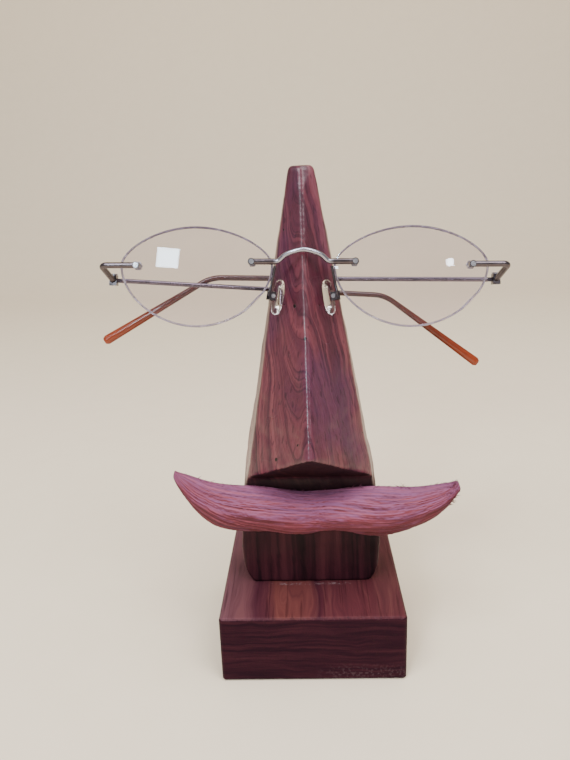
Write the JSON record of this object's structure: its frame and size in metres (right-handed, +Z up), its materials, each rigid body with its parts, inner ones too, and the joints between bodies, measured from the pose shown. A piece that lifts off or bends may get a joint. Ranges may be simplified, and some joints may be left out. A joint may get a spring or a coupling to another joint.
{
  "type": "eyeglasses display stand",
  "caption": "Carved wooden nose with a moustache on a square base block, holding a folded pair of rimless glasses that lifts off.",
  "frame": {"origin": "centre of the underside of the base block", "axes": "+Z up, -Y the way the nose points, +X to the right seen from the front"},
  "size_m": [0.1414, 0.064, 0.1719],
  "materials": {
    "dark_wood": "satin lacquer",
    "carved_wood": "gloss lacquer",
    "raw_wood": "raw, unvarnished",
    "plated_steel": "zinc plated",
    "grey_metal": "dark polished",
    "bright_metal": "polished",
    "clear_lens": "clear, coated",
    "clear_plastic": "clear",
    "clear_pad": "clear, soft",
    "amber_sleeve": "translucent amber"
  },
  "bodies": {
    "stand": {"base_block": "dark_wood", "nose_body": "carved_wood", "moustache": "raw_wood", "moustache_dowels": "raw_wood", "base_screws": "plated_steel"},
    "glasses_front": {"lens_left": "clear_lens", "lens_right": "clear_lens", "bridge": "grey_metal", "lens_bushings": "clear_plastic", "lens_screws": "bright_metal", "lens_nuts": "bright_metal", "pad_arm_left": "grey_metal", "pad_arm_right": "grey_metal", "pad_screw_left": "bright_metal", "pad_screw_right": "bright_metal", "endpiece_left": "grey_metal", "endpiece_right": "grey_metal", "hinge_screw_left": "bright_metal", "hinge_screw_right": "bright_metal"},
    "left_temple": {"temple_left": "grey_metal", "temple_tip_left": "amber_sleeve"},
    "right_temple": {"temple_right": "grey_metal", "temple_tip_right": "amber_sleeve"},
    "left_pad": {"nose_pad_left": "clear_pad"},
    "right_pad": {"nose_pad_right": "clear_pad"}
  },
  "joints": [
    {"name": "glasses_lift", "type": "slide", "parent": "stand", "child": "glasses_front", "axis": [0, 0, 1], "range_m": [0, 0.08]},
    {"name": "left_temple_fold", "type": "hinge", "parent": "glasses_front", "child": "left_temple", "pos_m": [-0.06575, 0.00487, 0.13565], "axis": [0.0261, 0.2079, 0.9778], "range_deg": [0, 72]},
    {"name": "right_temple_fold", "type": "hinge", "parent": "glasses_front", "child": "right_temple", "pos_m": [0.0652, 0.00487, 0.13215], "axis": [-0.0261, -0.2079, -0.9778], "range_deg": [0, 80.1]},
    {"name": "left_pad_rock", "type": "hinge", "parent": "glasses_front", "child": "left_pad", "pos_m": [-0.01075, -0.00742, 0.13064], "axis": [-0.4117, 0.8936, -0.179], "range_deg": [-4, 4]},
    {"name": "right_pad_rock", "type": "hinge", "parent": "glasses_front", "child": "right_pad", "pos_m": [0.01, -0.00742, 0.13009], "axis": [0.4015, 0.8936, -0.2007], "range_deg": [-4, 4]}
  ],
  "couplings": [
    {"joint": "right_temple_fold", "follows": "left_temple_fold", "ratio": 1.1111}
  ]
}
